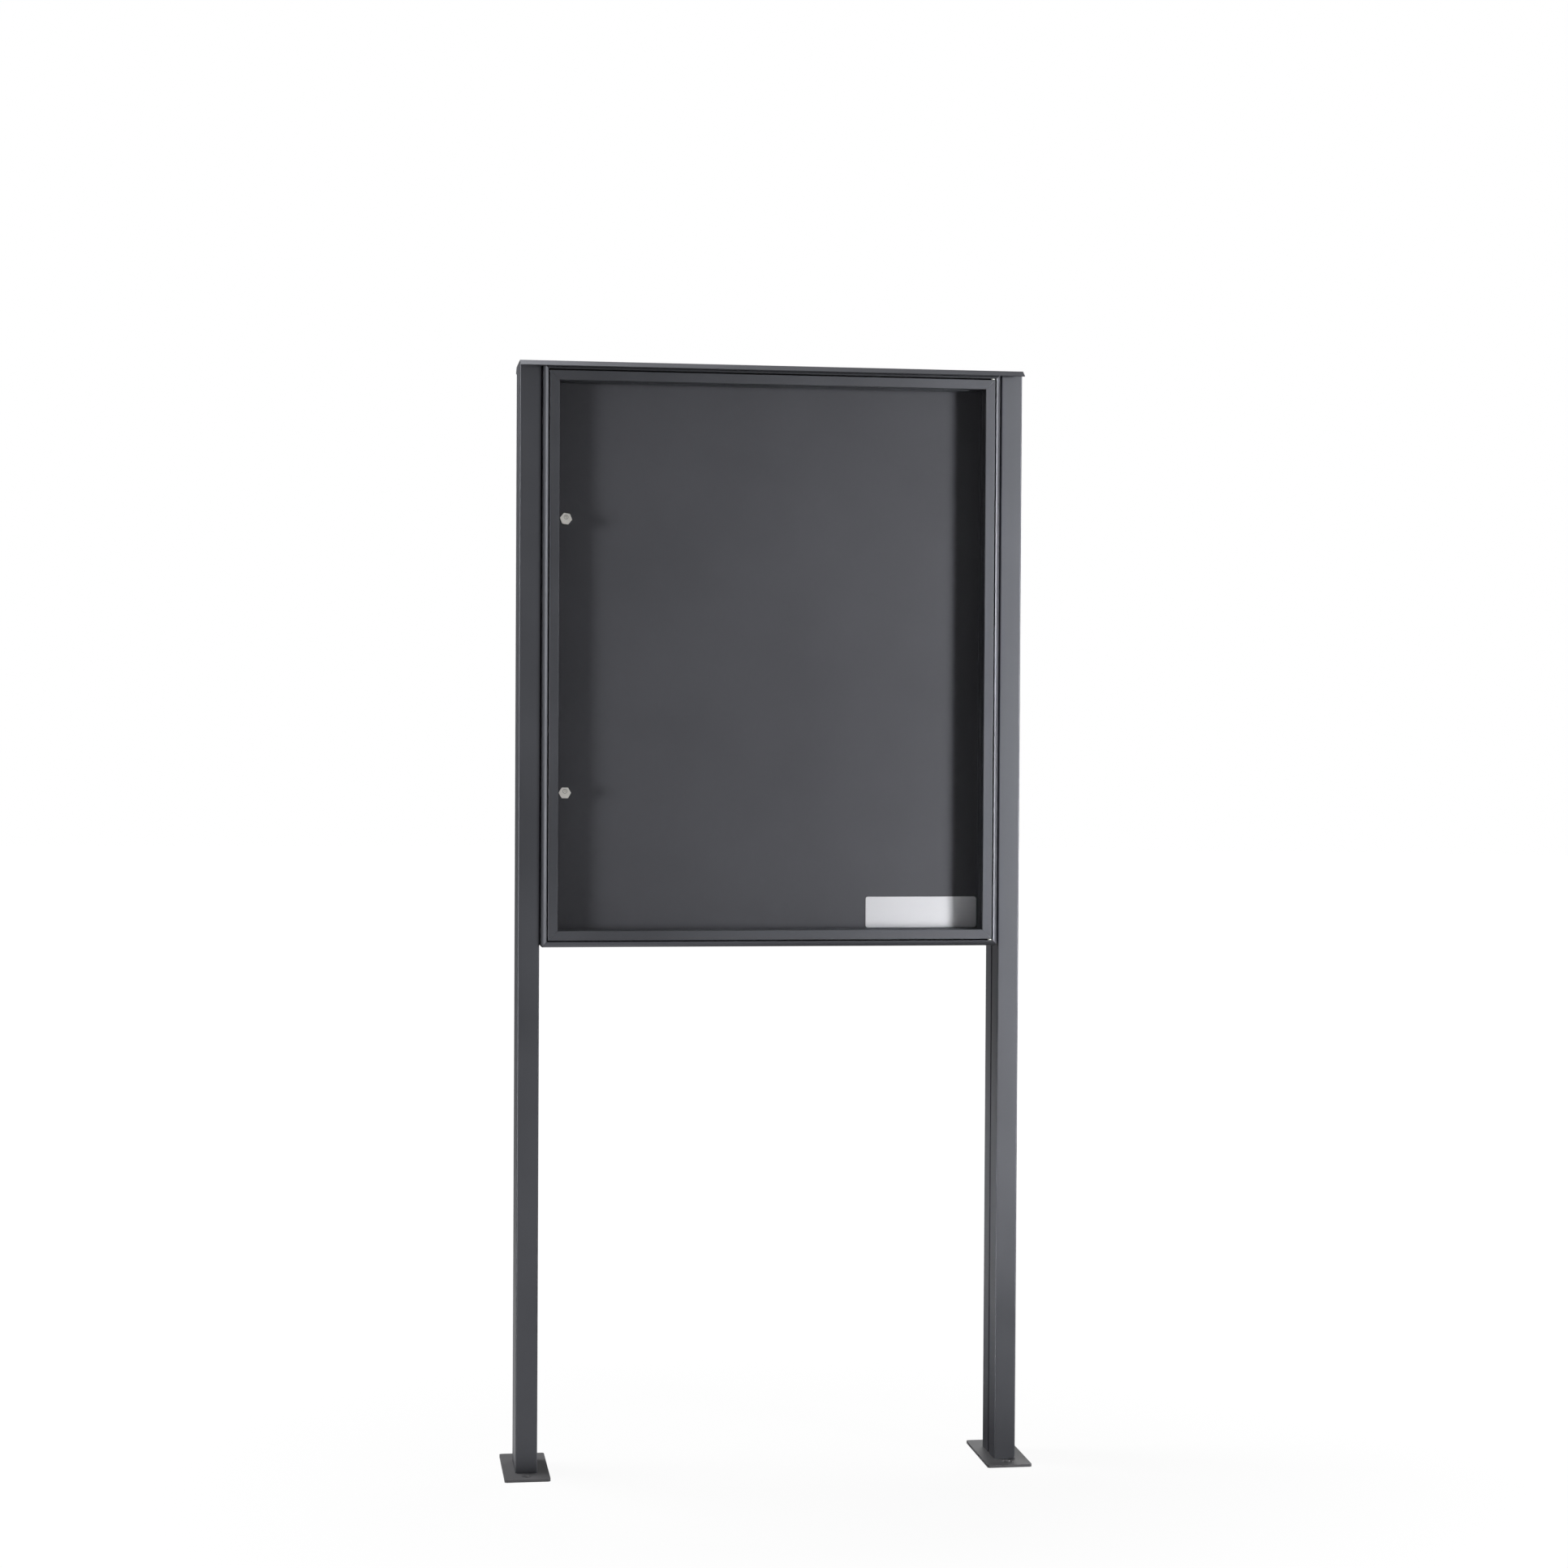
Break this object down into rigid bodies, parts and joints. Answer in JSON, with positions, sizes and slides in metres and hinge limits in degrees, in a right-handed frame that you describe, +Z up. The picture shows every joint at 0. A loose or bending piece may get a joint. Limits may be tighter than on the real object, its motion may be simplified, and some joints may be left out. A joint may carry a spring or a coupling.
{
  "type": "outdoor notice board",
  "caption": "Free-standing outdoor notice board: glazed case with a hinged lockable door between slotted posts on base plates, under a folded rain cap.",
  "frame": {"origin": "on the ground, midway between the posts and midway in depth", "axes": "+X to the right seen from the front, -Y to the front, +Z up"},
  "size_m": [0.984, 0.2, 2.052],
  "materials": {
    "post_coat": "fine-textured anthracite powder coat on extruded aluminium",
    "cap_coat": "fine-textured anthracite powder coat on folded aluminium sheet",
    "case_coat": "fine-textured anthracite powder coat on extruded aluminium",
    "door_coat": "fine-textured anthracite powder coat on extruded aluminium",
    "bead_coat": "anthracite powder coat on extruded aluminium",
    "panel_coat": "satin anthracite coat on sheet steel",
    "plate_steel": "grey coat on steel plate",
    "screw_steel": "plain stainless",
    "pin_steel": "ground stainless",
    "cleat_aluminium": "mill finish",
    "black_plastic": "fine matt grain",
    "black_rubber": "matt",
    "clear_pane": "clear safety glass",
    "white_nylon": "natural white",
    "nickel": "bright nickel plate",
    "plug_nickel": "nickel plate",
    "cam_steel": "black finish on steel"
  },
  "bodies": {
    "stand": {"back_panel": "panel_coat", "cap_screws": "screw_steel", "case_bottom_rail": "case_coat", "case_corner_caps": "black_plastic", "case_corner_cleats": "cleat_aluminium", "case_fixing_bolts": "screw_steel", "case_left_stile": "case_coat", "case_right_stile": "case_coat", "case_top_rail": "case_coat", "door_seal": "black_rubber", "foot_screws": "screw_steel", "left_base_plate": "plate_steel", "left_post": "post_coat", "lower_hinge_bush": "white_nylon", "rain_cap": "cap_coat", "right_base_plate": "plate_steel", "right_post": "post_coat", "slot_nuts": "screw_steel", "upper_hinge_bush": "white_nylon"},
    "door": {"door_bottom_rail": "door_coat", "door_corner_cleats": "cleat_aluminium", "door_left_stile": "door_coat", "door_pane": "clear_pane", "door_right_stile": "door_coat", "door_top_rail": "door_coat", "glazing_bead_bottom": "bead_coat", "glazing_bead_left": "bead_coat", "glazing_bead_right": "bead_coat", "glazing_bead_top": "bead_coat", "glazing_gasket": "black_rubber", "lock_washers": "black_rubber", "lower_hinge_pin": "pin_steel", "lower_lock_barrel": "nickel", "lower_lock_nut": "nickel", "upper_hinge_pin": "pin_steel", "upper_lock_barrel": "nickel", "upper_lock_nut": "nickel"},
    "upper_lock": {"upper_lock_plug": "plug_nickel", "upper_lock_cam": "cam_steel", "upper_cam_screw": "screw_steel"},
    "lower_lock": {"lower_lock_plug": "plug_nickel", "lower_lock_cam": "cam_steel", "lower_cam_screw": "screw_steel"}
  },
  "joints": [
    {"name": "door_hinge", "type": "hinge", "parent": "stand", "child": "door", "pos_m": [0.412, -0.0616, 1.50956], "axis": [0, 0, 1], "range_deg": [0, 100]},
    {"name": "upper_lock_turn", "type": "hinge", "parent": "door", "child": "upper_lock", "pos_m": [-0.3852, -0.0307, 1.76356], "axis": [0, 1, 0], "range_deg": [0, 90]},
    {"name": "lower_lock_turn", "type": "hinge", "parent": "door", "child": "lower_lock", "pos_m": [-0.3852, -0.0307, 1.26156], "axis": [0, 1, 0], "range_deg": [0, 90]}
  ]
}
